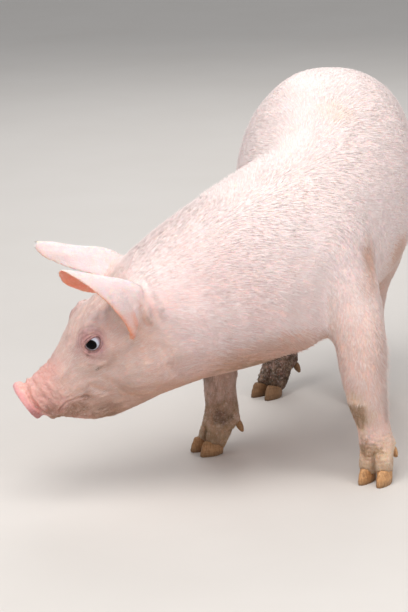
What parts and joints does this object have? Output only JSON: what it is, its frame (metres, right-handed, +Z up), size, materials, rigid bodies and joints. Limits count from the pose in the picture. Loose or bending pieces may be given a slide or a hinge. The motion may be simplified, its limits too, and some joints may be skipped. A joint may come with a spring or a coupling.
{
  "type": "pig",
  "caption": "Young pink pig, life size, standing with an arched back and its head lowered and turned to its right, with semi-erect ears, cloven feet and a curled tail.",
  "frame": {"origin": "on the floor, under the middle of the bounding box", "axes": "+Z up, -Y the way the chest faces, +X the left side of the pig"},
  "size_m": [0.5182, 0.7796, 0.5556],
  "materials": {
    "skin": "pink skin under a thin coat of short white bristles",
    "nose": "damp bare skin",
    "eye": "wet and glossy",
    "horn": "worn horn with dried mud"
  },
  "bodies": {
    "root": {"dewclaw_foreleg_left_inner": "horn", "dewclaw_foreleg_left_outer": "horn", "dewclaw_foreleg_right_inner": "horn", "dewclaw_foreleg_right_outer": "horn", "dewclaw_hindleg_left_inner": "horn", "dewclaw_hindleg_left_outer": "horn", "dewclaw_hindleg_right_inner": "horn", "dewclaw_hindleg_right_outer": "horn", "ear_left": "skin", "ear_right": "skin", "eye_left": "eye", "eye_right": "eye", "foreleg_left_lower": "skin", "foreleg_left_upper": "skin", "foreleg_right_lower": "skin", "foreleg_right_upper": "skin", "head": "skin", "hindleg_left_lower": "skin", "hindleg_left_upper": "skin", "hindleg_right_lower": "skin", "hindleg_right_upper": "skin", "hoof_foreleg_left_inner": "horn", "hoof_foreleg_left_outer": "horn", "hoof_foreleg_right_inner": "horn", "hoof_foreleg_right_outer": "horn", "hoof_hindleg_left_inner": "horn", "hoof_hindleg_left_outer": "horn", "hoof_hindleg_right_inner": "horn", "hoof_hindleg_right_outer": "horn", "lower_jaw": "skin", "neck": "skin", "nose_disc": "nose", "tail": "skin", "trunk": "skin"}
  },
  "joints": []
}
